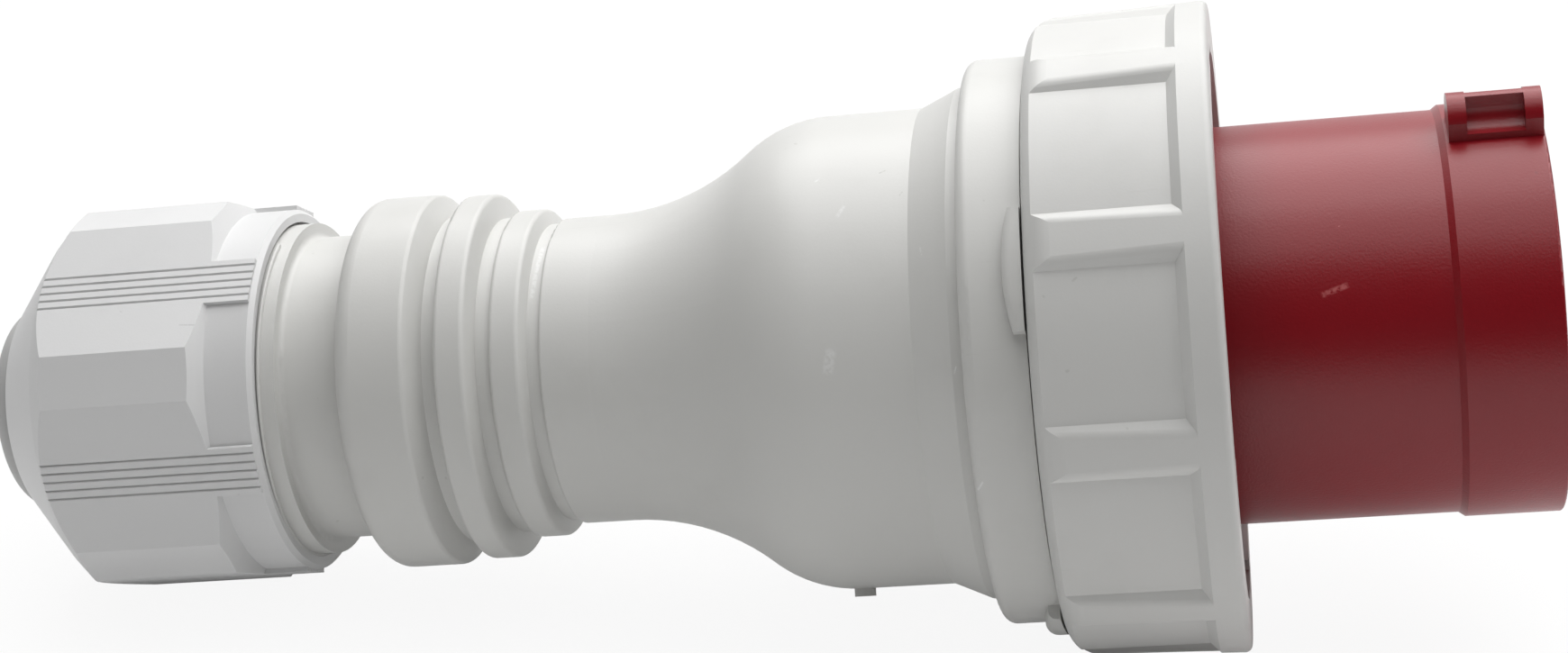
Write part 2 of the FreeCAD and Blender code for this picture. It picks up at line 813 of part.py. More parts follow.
def rear_housing(doc, s):
    body = new_body(doc, "rear_housing")
    front = -hub_rear(s)
    collar_rear = front - s.collar_length
    flare_rear = collar_rear - s.collar_step
    flare_start = flare_rear - s.flare_length
    swing = s.neck_blend + s.bell_shoulder
    bell = bell_radius(s)
    neck = neck_radius(s)
    sleeve = neck + s.sleeve_step
    rib_1_radius = neck + s.rib_height_1
    rib_2_radius = neck + s.rib_height_2
    rib_3_radius = neck + s.rib_height_3
    cosine = -((bell - neck) / swing - 1)
    sine = root(-(cosine * cosine - 1))
    bend_end = -s.bell_end
    bend_start = bend_end - swing * sine
    bend_middle = bend_end - s.bell_shoulder * sine
    bend_radius = bell - s.bell_shoulder * (-(cosine - 1))
    rib_1_end = -s.rib_start + s.rib_width_1
    rib_2_start = rib_1_end + s.rib_slope_1 + s.rib_gap_1
    rib_2_end = rib_2_start + s.rib_width_2
    rib_3_start = rib_2_end + s.rib_slope_2 + s.rib_gap_2
    rib_3_end = rib_3_start + s.rib_width_3
    neck_groove = rib_3_end + s.rib_slope_2
    neck_edge = neck_groove + s.neck_groove_width
    revolve(
        body,
        "Revolution",
        "housing_turned",
        [
            (-s.sleeve_end, sleeve),
            (-s.sleeve_root, sleeve),
            (-s.sleeve_root, neck),
            (-s.rib_start, neck),
            (-s.rib_start, rib_1_radius),
            (rib_1_end, rib_1_radius),
            (rib_1_end + s.rib_slope_1, neck + s.rib_floor_1),
            (rib_2_start, neck + s.rib_floor_1),
            (rib_2_start, rib_2_radius),
            (rib_2_end, rib_2_radius),
            (rib_2_end + s.rib_slope_2, neck + s.rib_floor_2),
            (rib_3_start, neck + s.rib_floor_2),
            (rib_3_start, rib_3_radius),
            (rib_3_end, rib_3_radius),
            (neck_groove, neck - s.neck_groove_depth),
            (neck_edge, neck - s.neck_groove_depth),
            (neck_edge, neck),
            (bend_start, neck),
            (bend_middle, bend_radius),
            (bend_end, bell),
            (flare_start, bell),
            (flare_rear, flare_radius(s)),
            (collar_rear, flare_radius(s)),
            (collar_rear, collar_radius(s)),
            (front, collar_radius(s)),
            (front, bell_bore(s)),
            (-s.bell_bore_end, bell_bore(s)),
            (-s.bell_bore_neck, s.neck_bore),
            (-s.sleeve_end, s.neck_bore),
        ],
        {17: (s.neck_blend, False), 18: (s.bell_shoulder, True)},
    )
    round_rims(body, "sleeve_blend", [(-s.sleeve_root, neck)], s.sleeve_root_round)
    round_rims(body, "rib_1_corner", [(-s.rib_start, rib_1_radius)], s.rib_round_1)
    round_rims(body, "neck_edge", [(neck_edge, neck)], s.neck_edge_round)
    round_rims(
        body,
        "rib_edges",
        [
            (rib_1_end, rib_1_radius),
            (rib_2_start, rib_2_radius),
            (rib_2_end, rib_2_radius),
            (rib_3_start, rib_3_radius),
            (rib_3_end, rib_3_radius),
        ],
        s.rib_edge_round,
    )
    round_rims(body, "collar_edge", [(collar_rear, collar_radius(s))], s.collar_round)
    lug_root = flare_radius(s)
    sketch = new_sketch(body, "lug_outline", "XY_Plane", lug_root, turn=LUG_ANGLE)
    half = s.lug_half_width
    end = front - s.lug_end
    curve = (half * half + s.lug_bulge * s.lug_bulge) / (s.lug_bulge * 2)
    corners = [(front, -half), (front, half), (end, half), (end, -half)]
    closed_outline(sketch, corners, {2: (curve, False)})
    lug = extrude(body, "Pad", "lug", sketch, s.collar_height + s.lug_height)
    repeat(body, "lugs", [lug], LUGS, LUG_SPAN)
    lug_top = collar_radius(s) + s.lug_height
    revolve(
        body,
        "Groove",
        "lug_tops",
        rectangle(collar_rear, front, lug_top, lug_top + s.over_cut),
    )
    round_lugs(body, s, end, lug_top)
    nub_base = bell - s.bite
    sketch = new_sketch(body, "nub_outline", "XY_Plane", nub_base, turn=90 - NUB_ANGLE)
    circles(sketch, [(-s.nub_place, 0, s.nub_radius)])
    extrude(body, "Pad", "nub", sketch, s.nub_height + s.bite)
    sketch = new_sketch(body, "screw_holes_outline", "YZ_Plane", front)
    circles(sketch, screw_circles(screw_circle(s), s.housing_screw_radius,
                                  HOUSING_SCREW_ANGLES))
    depth = s.housing_screw_length - (hub_rear(s) - flange_front(s) - s.housing_screw_head_height)
    extrude(body, "Pocket", "screw_holes", sketch, depth + s.housing_screw_room)
    return body


def round_lugs(body, s, end, lug_top):
    """Fillets along the curved rear edge of each lug's top."""

    def on_lug(edge):
        points = [vertex.Point for vertex in edge.Vertexes]
        high = all(math.hypot(point.y, point.z) > lug_top.value - SAME_PLACE for point in points)
        behind = all(abs(point.x - end.value) < SAME_PLACE for point in points)
        return len(points) == 2 and high and behind

    round_edges(body, "lug_edges", on_lug, s.lug_round)


def gland_nut(doc, s):
    """A six-sided nut with flat corners, a grooved band on each side and a coned end."""
    body = new_body(doc, "gland_nut")
    tip = -nut_tip(s)
    rim = -nut_rim(s)
    apothem = nut_apothem(s)
    corner_apothem = apothem + s.nut_corner_rise
    envelope = corner_apothem + s.nut_blank_rise
    rim_radius = apothem - s.nut_rim_step
    cage_bore = cage_finger_radius(s) + s.nut_seat_play
    cone_end = tip + s.nut_cone_length
    rim_zone = rim - s.nut_rim_length
    seat = rim - s.nut_shoulder_depth
    revolve(
        body,
        "Revolution",
        "nut_turned",
        [
            (tip, nut_hole_radius(s)),
            (tip, nut_hole_radius(s) + s.nut_tip_wall),
            (tip + s.nut_cone_middle, apothem - s.nut_cone_drop),
            (cone_end, envelope),
            (rim_zone - s.nut_run_out, envelope),
            (rim_zone, rim_radius),
            (rim - s.nut_rim_chamfer, rim_radius),
            (rim, rim_radius - s.nut_rim_chamfer),
            (rim, nut_bore(s)),
            (seat, nut_bore(s)),
            (seat, cage_bore),
            (tip + s.nut_hole_length, nut_hole_radius(s)),
        ],
    )
    features = []
    for name, distance, turn in (
        ("side", apothem, 0),
        ("corner", corner_apothem, 180 / NUT_SIDES),
    ):
        sketch = new_sketch(body, name + "_outline", "XY_Plane", distance, turn=turn)
        closed_outline(
            sketch, rectangle(tip - s.over_cut, rim + s.over_cut, -apothem, apothem)
        )
        height = envelope - distance + s.over_cut
        features.append(extrude(body, "Pocket", name, sketch, height, reverse=True))
    sketch = new_sketch(body, "band_outline", "YZ_Plane", rim_zone - s.nut_run_out)
    half = s.band_half_width
    closed_outline(sketch, rectangle(-half, half, nut_bore(s) + s.bite, apothem))
    band_length = s.nut_run_out + s.nut_rim_length - s.nut_rim_chamfer
    features.append(extrude(body, "Pad", "band", sketch, band_length))
    sketch = new_sketch(body, "grooves_outline", "YZ_Plane", rim - s.nut_rim_chamfer / 2)
    for index in range(GROOVES_PER_BAND):
        middle = s.groove_pitch * (index - (GROOVES_PER_BAND - 1) / 2)
        closed_outline(
            sketch,
            [
                (middle - s.groove_width / 2, apothem + s.groove_over),
                (middle, apothem - s.groove_depth),
                (middle + s.groove_width / 2, apothem + s.groove_over),
            ],
        )
    features.append(extrude(body, "Pocket", "grooves", sketch, s.nut_length))
    repeat(body, "nut_sides", features, NUT_SIDES)
    body.Placement = Placement(Vector(), Rotation(Vector(1, 0, 0), s.nut_clock.value))
    return body


def thrust_washer(doc, s):
    body = new_body(doc, "thrust_washer")
    seat = -nut_rim(s) - s.nut_shoulder_depth + s.running_gap
    radius = nut_bore(s) - s.thread_play
    revolve(
        body,
        "Revolution",
        "washer_turned",
        rectangle(seat, seat + s.washer_thickness, nut_hole_radius(s), radius),
    )
    return body


def clamp_cage(doc, s):
    """A ring of fingers that the nut squeezes onto the grommet."""
    body = new_body(doc, "clamp_cage")
    flange = -s.sleeve_end - s.cage_flange
    tip = flange - s.cage_finger_length
    spigot = -s.sleeve_end + s.cage_spigot
    spigot_radius = s.neck_bore - s.fit_gap
    flange_radius = nut_bore(s) - s.cage_play
    finger_radius = cage_finger_radius(s)
    bore = grommet_radius(s) + s.fit_gap
    revolve(
        body,
        "Revolution",
        "cage_turned",
        [
            (tip, bore),
            (tip, finger_radius - s.cage_finger_taper),
            (flange, finger_radius),
            (flange, flange_radius),
            (-s.sleeve_end, flange_radius),
            (-s.sleeve_end, spigot_radius),
            (spigot, spigot_radius),
            (spigot, bore),
        ],
    )
    sketch = new_sketch(body, "slot_outline", "XY_Plane")
    half = s.cage_slot / 2
    closed_outline(sketch, rectangle(tip - s.over_cut, flange - s.cage_slot_root, -half, half))
    slot = extrude(body, "Pocket", "slot", sketch, flange_radius, reverse=True)
    repeat(body, "slots", [slot], CAGE_FINGERS)
    return body


def cable_grommet(doc, s):
    """The soft sleeve round the cable, with a rounded nose outside the nut."""
    body = new_body(doc, "cable_grommet")
    nose = -nut_tip(s) - s.grommet_out
    flange = -s.sleeve_end + s.cage_spigot
    flange_radius = s.neck_bore - s.fit_gap
    outside = grommet_radius(s)
    revolve(
        body,
        "Revolution",
        "grommet_turned",
        [
            (nose, s.grommet_bore),
            (nose, outside),
            (flange, outside),
            (flange, flange_radius),
            (flange + s.grommet_flange, flange_radius),
            (flange + s.grommet_flange, s.grommet_bore),
        ],
    )
    round_rims(body, "nose_round", [(nose, outside)], s.grommet_round)
    return body


def contact_carrier(doc, s):
    body = new_body(doc, "contact_carrier")
    front = -(s.base_front + s.base_wall)
    rear = -carrier_rear(s)
    radius = spigot_bore(s) - s.fit_gap
    revolve(
        body,
        "Revolution",
        "carrier_turned",
        [(rear, 0), (front, 0), (front, radius), (rear, radius)],
    )
    sketch = new_sketch(body, "holes_outline", "YZ_Plane", rear)
    circles(sketch, contact_circles(s, s.pin_shank_over))
    circles(sketch, screw_circles(carrier_screw_circle(s), s.carrier_screw_radius,
                                  CARRIER_SCREW_ANGLES))
    extrude(body, "Pocket", "holes", sketch, s.carrier_length + s.over_cut, reverse=True)
    sketch = new_sketch(body, "seats_outline", "YZ_Plane", front)
    circles(sketch, contact_circles(s, s.collar_over))
    extrude(body, "Pocket", "seats", sketch, s.collar_width)
    return body


def contact_pin(doc, s, name, radius, tip, barrel_over, barrel_length):
    """A turned contact: rounded pin, trapped collar, and a terminal barrel for the wire."""
    body = new_body(doc, "pin_" + name)
    collar = -(s.base_front + s.base_wall)
    barrel_front = -carrier_rear(s)
    barrel = radius + barrel_over
    shank = radius + s.pin_shank_over
    neck = radius - s.pin_neck_depth
    neck_front = s.pin_neck_width - s.base_front
    rear = barrel_front - barrel_length
    bore = barrel - s.wire_wall
    revolve(
        body,
        "Revolution",
        "pin_turned",
        [
            (tip, 0),
            (tip, radius),
            (neck_front, radius),
            (neck_front, neck),
            (-s.base_front, neck),
            (-s.base_front, shank),
            (collar, shank),
            (collar, radius + s.collar_over),
            (collar - s.collar_width, radius + s.collar_over),
            (collar - s.collar_width, shank),
            (barrel_front, shank),
            (barrel_front, barrel),
            (rear, barrel),
            (rear, bore),
            (rear + s.wire_depth, bore),
            (rear + s.wire_depth, 0),
        ],
    )
    round_rims(body, "tip_round", [(tip, radius)], radius * s.pin_tip_ratio)
    return body, barrel


def screw_holes(body, s, barrel, places, radius):
    sketch = new_sketch(body, "screw_holes_outline", "XY_Plane")
    circles(sketch, [(place, 0, radius) for place in places])
    extrude(body, "Pocket", "screw_holes", sketch, barrel + s.over_cut, reverse=True)


def driver_slot(body, s, face, radius):
    sketch = new_sketch(body, "driver_slot_outline", "YZ_Plane", face)
    reach = radius + s.bite
    half = s.driver_slot_width / 2
    closed_outline(sketch, rectangle(-half, half, -reach, reach))
    extrude(body, "Pocket", "driver_slot", sketch, s.driver_slot_depth)


def terminal_screw(doc, s, label, radius, length):
    """A headless screw along X, its slotted end at X = length."""
    body = new_body(doc, label)
    corners = [(0, 0), (length, 0), (length, radius), (0, radius)]
    revolve(body, "Revolution", "screw_turned", corners)
    driver_slot(body, s, length, radius)
    return body


def contacts(doc, s):
    """Five contacts on a circle and the pilot in the middle, each with its clamp screws."""
    upright = Rotation(Vector(0, 1, 0), -90)
    for name, angle in CONTACT_ANGLES.items():
        earth = name == "earth"
        radius = s.earth_pin_radius if earth else s.pin_radius
        tip = s.earth_pin_tip if earth else s.pin_tip
        body, barrel = contact_pin(doc, s, name, radius, tip, s.barrel_over, s.barrel_length)
        first = -carrier_rear(s) - s.screw_first
        places = [first, first - s.screw_pitch]
        screw_holes(body, s, barrel, places, s.screw_radius)
        turn = Placement(Vector(), Rotation(Vector(1, 0, 0), 90 - angle))
        out = Placement(Vector(0, 0, s.contact_circle.value), Rotation())
        body.Placement = turn.multiply(out)
        for letter, place in zip("ab", places):
            label = "terminal_screw_%s_%s" % (name, letter)
            screw = terminal_screw(doc, s, label, s.screw_radius, s.screw_length)
            seat = barrel.value - s.wire_wall.value
            spot = Vector(place.value, 0, s.contact_circle.value + seat)
            screw.Placement = turn.multiply(Placement(spot, upright))
    pilot_parts = (s.pilot_pin_radius, s.pilot_pin_tip, s.pilot_barrel_over)
    body, barrel = contact_pin(doc, s, "pilot", *pilot_parts, s.pilot_barrel_length)
    place = -carrier_rear(s) - s.pilot_barrel_length + s.pilot_screw_place
    screw_holes(body, s, barrel, [place], s.pilot_screw_radius)
    turn = Placement(Vector(), Rotation(Vector(1, 0, 0), 90 - PILOT_SCREW_ANGLE))
    body.Placement = turn
    screw = terminal_screw(
        doc, s, "terminal_screw_pilot", s.pilot_screw_radius, s.pilot_screw_length
    )
    seat = barrel.value - s.wire_wall.value
    screw.Placement = turn.multiply(Placement(Vector(place.value, 0, seat), upright))


def flanged_screw(doc, s, label, radius, head, head_height, length):
    """A screw along X with its head's face at X = 0 and its shank towards -X."""
    body = new_body(doc, label)
    revolve(
        body,
        "Revolution",
        "screw_turned",
        [
            (0, 0),
            (0, head),
            (-head_height, head),
            (-head_height, radius),
            (-head_height - length, radius),
            (-head_height - length, 0),
        ],
    )
    driver_slot(body, s, 0, head)
    return body


def fixing_screws(doc, s):
    """Four screws hold the housing to the front body, three hold the carrier in it."""
    for index, angle in enumerate(HOUSING_SCREW_ANGLES, start=1):
        label = "housing_screw_%d" % index
        body = flanged_screw(doc, s, label, s.housing_screw_radius, s.housing_screw_head,
                             s.housing_screw_head_height, s.housing_screw_length)
        y, z = about(angle)
        circle = screw_circle(s).value
        body.Placement = Placement(
            Vector(-flange_front(s).value, circle * y, circle * z), Rotation()
        )
    flip = Rotation(Vector(0, 0, 1), 180)
    for index, angle in enumerate(CARRIER_SCREW_ANGLES, start=1):
        label = "carrier_screw_%d" % index
        length = s.carrier_length + s.carrier_screw_bite - s.running_gap
        body = flanged_screw(doc, s, label, s.carrier_screw_radius, s.carrier_screw_head,
                             s.carrier_screw_head_height, length)
        y, z = about(angle)
        circle = carrier_screw_circle(s).value
        rear = -carrier_rear(s).value - s.carrier_screw_head_height.value
        body.Placement = Placement(Vector(rear, circle * y, circle * z), flip)


def housing_oring(doc, s):
    body = new_body(doc, "housing_oring")
    middle = -hub_rear(s) - s.oring_place
    radius = bell_bore(s) - s.oring_section - s.fit_gap / 2
    sketch = new_sketch(body, "oring_outline", "XY_Plane")
    circles(sketch, [(middle, radius, s.oring_section)])
    ring = body.newObject("PartDesign::Revolution", "oring")
    ring.Profile = sketch
    ring.ReferenceAxis = (sketch, ["H_Axis"])
    ring.Angle = ALL_ROUND
    doc.recompute()
    return body


def face_gasket(doc, s):
    body = new_body(doc, "face_gasket")
    inner = s.shroud_radius + s.fit_gap / 2
    rear = -flange_front(s)
    revolve(
        body,
        "Revolution",
        "gasket_turned",
        rectangle(rear, rear + s.gasket_height, inner, inner + s.gasket_width),
    )
    return body


def lying_turn(s, tilt):
    return Rotation(Vector(0, 1, 0), -tilt).multiply(Rotation(Vector(1, 0, 0), s.rest_roll.value))


def lowest(points, turn):
    return min(turn.multVec(point).z for point in points)


def rest_tilt(s, front, rear):
    """The tilt at which the lowest points of the front and the rear piece are level."""
    front_points = front.Shape.tessellate(SAME_PLACE)[0]
    rear_points = rear.Shape.tessellate(SAME_PLACE)[0]
    tilt = 0
    for _ in range(REST_STEPS):
        turn = lying_turn(s, tilt)
        drop = lowest(rear_points, turn) - lowest(front_points, turn)
        tilt += math.degrees(math.atan2(drop, nut_tip(s).value))
    return tilt


def lay_down(doc, s):
    """Turn every sub-part into the lying pose, centred over the origin and on Z = 0."""
    bodies = [item for item in doc.Objects if item.TypeId == "PartDesign::Body"]
    named = {body.Label: body for body in bodies}
    tilt = rest_tilt(s, named["bayonet_ring"], named["gland_nut"])
    turn = lying_turn(s, tilt)
    for body in bodies:
        body.Placement = Placement(Vector(), turn).multiply(body.Placement)
    doc.recompute()
    boxes = [named[name].Shape.optimalBoundingBox(False, False) for name in OUTERMOST]
    middle = Vector(
        (min(box.XMin for box in boxes) + max(box.XMax for box in boxes)) / 2,
        (min(box.YMin for box in boxes) + max(box.YMax for box in boxes)) / 2,
        min(box.ZMin for box in boxes),
    )
    for body in bodies:
        body.Placement = Placement(-middle, Rotation()).multiply(body.Placement)
    doc.recompute()
    return bodies, tilt, middle


def check(doc, bodies):
    for item in doc.Objects:
        if "Invalid" in item.State or "Error" in item.State:
            raise RuntimeError("%s: %s" % (item.Name, item.getStatusString()))
        cuts = ("PartDesign::Pocket", "PartDesign::Groove")
        if item.TypeId in cuts and item.Shape.Volume >= item.BaseFeature.Shape.Volume:
            raise RuntimeError("%s cuts nothing" % item.Name)
    for body in bodies:
        if body.Shape.isNull() or not body.Shape.isValid() or len(body.Shape.Solids) != 1:
            raise RuntimeError("%s is not one valid solid" % body.Label)


def main():
    doc = FreeCAD.newDocument("industrial_plug")
    s = Sizes(make_sheet(doc))
    for make in (
        bayonet_ring,
        front_body,
        rear_housing,
        gland_nut,
        thrust_washer,
        clamp_cage,
        cable_grommet,
        contact_carrier,
        contacts,
        fixing_screws,
        housing_oring,
        face_gasket,
    ):
        make(doc, s)
    bodies, tilt, middle = lay_down(doc, s)
    check(doc, bodies)
    os.makedirs("parts", exist_ok=True)
    for body in bodies:
        body.Shape.exportStep("parts/%s.step" % body.Label)
    print("tilt %.4f, moved by %.4f %.4f %.4f" % (tilt, -middle.x, -middle.y, -middle.z))


main()
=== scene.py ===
import math

import bpy
from mathutils import Euler, Matrix, Vector


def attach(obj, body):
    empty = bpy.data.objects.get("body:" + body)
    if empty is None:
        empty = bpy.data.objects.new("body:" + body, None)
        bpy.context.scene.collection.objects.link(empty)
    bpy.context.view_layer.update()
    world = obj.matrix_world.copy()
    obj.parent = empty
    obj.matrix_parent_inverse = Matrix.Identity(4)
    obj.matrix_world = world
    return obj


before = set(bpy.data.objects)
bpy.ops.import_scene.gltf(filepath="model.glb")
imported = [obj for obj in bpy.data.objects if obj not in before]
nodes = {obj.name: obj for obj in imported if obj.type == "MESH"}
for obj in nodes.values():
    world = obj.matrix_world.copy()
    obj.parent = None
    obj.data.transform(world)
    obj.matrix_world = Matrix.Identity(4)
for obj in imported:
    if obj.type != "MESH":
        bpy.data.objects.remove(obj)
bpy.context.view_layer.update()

# The camera looks along the desk at the plug, from the front and a little above it, as the
# photograph does. Its place and turn were fitted to the outline of the plug in the photograph.
camera_lens = 65.885
camera_sensor = 36.0
camera_place = (0.070025, -0.465258, 0.259738)
camera_turned = (66.4622, 1.5143, 7.3770)
camera_data = bpy.data.cameras.new("camera")
camera_data.lens = camera_lens
camera_data.sensor_width = camera_sensor
camera = bpy.data.objects.new("camera", camera_data)
camera.location = camera_place
camera.rotation_euler = [math.radians(angle) for angle in camera_turned]
bpy.context.scene.collection.objects.link(camera)
bpy.context.scene.camera = camera
bpy.context.scene.view_settings.view_transform = "Standard"

# A wide sheet of matt white card lies under the plug, with a large soft lamp above and behind it
# and a weak one above and in front. The camera sees the room white. What mirrors in the plug is
# pale behind it and dark on the camera's side.
card_half = 3.0
card_white = (0.93, 0.93, 0.93, 1.0)
card_glow = 0.92
card_mirrored = 0.30
fibre_scale = 900.0
fibre_depth = 0.0001
fibre_strength = 0.15
room_dark = (0.06, 0.06, 0.06, 1.0)
room_pale = (1.0, 1.0, 1.0, 1.0)
room_turns_pale = (0.0, 0.5)

# Each lamp has its name, place, size, turn in degrees and power in watts.
lamp_rows = [
    ("lamp_over", (0.20, 0.40, 0.90), (1.50, 1.00), (-27.0, 0.0, 0.0), 15.2),
    ("lamp_front", (0.35, -0.24, 0.95), (1.60, 0.60), (15.0, 0.0, 0.0), 5.6),
]


class Channel:
    """One output of a node. Sums and products of it add Math nodes."""

    def __init__(self, finish, output):
        self.finish = finish
        self.output = output

    def maths(self, operation, *values):
        sockets = dict(enumerate(values))
        return self.finish.node("ShaderNodeMath", {"operation": operation}, sockets)

    def __add__(self, other):
        return self.maths("ADD", self, other)

    def __sub__(self, other):
        return self.maths("SUBTRACT", self, other)

    def __rsub__(self, other):
        return self.maths("SUBTRACT", other, self)

    def __mul__(self, other):
        return self.maths("MULTIPLY", self, other)

    def __abs__(self):
        return self.maths("ABSOLUTE", self)

    __radd__ = __add__
    __rmul__ = __mul__


class Finish:
    """A material of the plug, or the room's own, built node by node."""

    def __init__(self, name, owner=None):
        self.material = owner or bpy.data.materials.new(name)
        self.material.use_nodes = True
        self.tree = self.material.node_tree
        self.tree.nodes.clear()

    def node(self, kind, settings=None, sockets=None, output=0):
        node = self.tree.nodes.new(kind)
        for name, value in (settings or {}).items():
            setattr(node, name, value)
        for name, value in (sockets or {}).items():
            if isinstance(value, Channel):
                self.tree.links.new(value.output, node.inputs[name])
            else:
                node.inputs[name].default_value = value
        return Channel(self, node.outputs[output])

    def axes(self, place):
        return [self.node("ShaderNodeSeparateXYZ", None, {0: place}, axis) for axis in range(3)]

    def noise(self, place, scale, detail=2.0, rough=0.5):
        sockets = {"Vector": place, "Scale": scale, "Detail": detail, "Roughness": rough}
        return self.node("ShaderNodeTexNoise", None, sockets)

    def stretch(self, place, scale):
        return self.node("ShaderNodeMapping", None, {"Vector": place, "Scale": scale})

    def step(self, value, low, high):
        """0 below low, 1 above high, smooth between."""
        sockets = {"Value": value, "From Min": low, "From Max": high}
        return self.node("ShaderNodeMapRange", {"interpolation_type": "SMOOTHSTEP"}, sockets)

    def mix(self, share, colour_a, colour_b):
        """Colour a at share 0, colour b at share 1. The sockets are found by their number."""
        share_in, colour_a_in, colour_b_in, colour_out = 0, 6, 7, 2
        sockets = {share_in: share, colour_a_in: colour_a, colour_b_in: colour_b}
        return self.node("ShaderNodeMix", {"data_type": "RGBA"}, sockets, colour_out)

    def bump(self, height, depth, strength=1.0, normal=None):
        sockets = {"Height": height, "Distance": depth, "Strength": strength}
        if normal:
            sockets["Normal"] = normal
        return self.node("ShaderNodeBump", None, sockets)

    def plastic(self, **sockets):
        named = {name.replace("_", " "): value for name, value in sockets.items()}
        return self.node("ShaderNodeBsdfPrincipled", None, named)

    def surface(self, **sockets):
        self.end(self.plastic(**sockets))
        return self.material

    def end(self, shader, kind="ShaderNodeOutputMaterial"):
        last = self.tree.nodes.new(kind)
        self.tree.links.new(shader.output, last.inputs["Surface"])

    def seen(self):
        """1 for what the camera sees at once, and 1 for a mirror's or a glass's view of it."""
        straight, mirrored, through = [
            self.node("ShaderNodeLightPath", output="Is " + ray + " Ray")
            for ray in ("Camera", "Glossy", "Transmission")
        ]
        return straight, mirrored + through


def new_piece(name, mesh):
    piece = bpy.data.objects.new(name, mesh)
    bpy.context.scene.collection.objects.link(piece)
    return piece


corners = [(x * card_half, y * card_half, 0.0) for x, y in ((-1, -1), (1, -1), (1, 1), (-1, 1))]
card_mesh = bpy.data.meshes.new("card")
card_mesh.from_pydata(corners, [], [(0, 1, 2, 3)])
card = new_piece("card", card_mesh)
card_finish = Finish("card")
card_place = card_finish.node("ShaderNodeTexCoord", output="Object")
fibres = card_finish.noise(card_place, fibre_scale)
sheet = card_finish.plastic(
    Base_Color=card_white,
    Roughness=0.9,
    Specular_IOR_Level=0.1,
    Normal=card_finish.bump(fibres, fibre_depth, fibre_strength),
)
glow = card_finish.node("ShaderNodeEmission")
straight, mirrored = card_finish.seen()
share = straight * card_glow + mirrored * card_mirrored
card_finish.end(card_finish.node("ShaderNodeMixShader", None, {0: share, 1: sheet, 2: glow}))
card_mesh.materials.append(card_finish.material)
for name, place, size, turn, power in lamp_rows:
    lamp = bpy.data.lights.new(name, "AREA")
    lamp.shape = "RECTANGLE"
    lamp.size, lamp.size_y = size
    lamp.energy = power
    lamp_object = bpy.data.objects.new(name, lamp)
    lamp_object.location = place
    lamp_object.rotation_euler = [math.radians(angle) for angle in turn]
    bpy.context.scene.collection.objects.link(lamp_object)
room = Finish("room", bpy.data.worlds.new("room"))
away = room.axes(room.node("ShaderNodeTexCoord", output="Generated"))[1]
behind = room.step(away, *room_turns_pale)
straight, mirrored = room.seen()
backdrop = room.mix(straight + mirrored * behind, room_dark, room_pale)
room.end(room.node("ShaderNodeBackground", None, {"Color": backdrop}), "ShaderNodeOutputWorld")
bpy.context.scene.world = room.material

# The rear housing is one moulding in light grey, slightly warm thermoplastic, satin and very
# finely grained. It has a faint parting line along the neck, handling marks on the bell, a nick
# in the collar's edge and a pale moulding mark beside the foremost rib.
housing_grey = (0.575, 0.573, 0.555, 1.0)
housing_soiled = (0.44, 0.438, 0.415, 1.0)
housing_pale = (0.72, 0.72, 0.71, 1.0)

# The plug lies on the edge of its ring and on a flat of its gland nut, mouth towards +X.
lies_at = (0.0830794, 0.0, 0.0576864)
lies_turned = (math.radians(8.5), math.radians(-6.0642), 0.0)

# Each mark has two ends (mm along the axis, degrees round it), the radius there and its own
# width in mm, its strength and its tint.
mm = 0.001
housing_marks = [
    ((-117.0, 98.0), (-72.0, 98.0), 29.0, 0.25, 0.20, housing_soiled),
    ((-64.9, 28.4), (-64.3, 32.0), 42.2, 2.40, 0.50, housing_pale),
    ((-62.5, 64.6), (-61.6, 67.0), 42.2, 0.90, 0.60, housing_pale),
    ((-66.6, 75.4), (-65.9, 76.4), 42.2, 0.50, 0.60, housing_pale),
    ((-55.8, 76.5), (-54.9, 77.1), 42.2, 0.35, 0.90, housing_soiled),
    ((-52.2, 69.0), (-51.8, 69.9), 42.2, 0.30, 0.90, housing_soiled),
    ((-48.4, 52.4), (-48.6, 54.2), 43.5, 0.35, 0.80, housing_pale),
    ((-43.9, 26.0), (-43.5, 27.4), 45.2, 0.30, 0.80, housing_pale),
    ((-86.9, 98.7), (-86.1, 99.0), 32.0, 0.50, 0.90, housing_soiled),
    ((-41.5, 3.2), (-40.6, 5.0), 49.8, 0.45, 0.90, housing_pale),
    ((-118.9, 62.0), (-118.3, 87.0), 28.7, 1.10, 0.55, housing_pale),
]
mark_core = 0.4
mark_sunk = 0.4
crumb_scale = 1500.0
crumbs = (0.30, 0.60)

# The surface is alike on every moulded piece. These are the scales of its patterns, and where each
# starts and is full.
cloud_scale = 38.0
soil_patches = (0.52, 0.75)
soil_share = 0.16
rub_patches = (0.50, 0.62)
streak_scale = (60.0, 900.0, 1400.0)
streak_edges = (0.66, 0.80)
speck_scale = 420.0
speck_edges = (0.80, 0.84)
speck_share = 0.5
wave_scale = 90.0
wave_depth = 0.0003
wave_strength = 0.10
grain_scale = 2300.0
grain_depth = 0.00003
cloud_rough = 0.10
rub_rough = 0.08
cloud_middle = 0.05


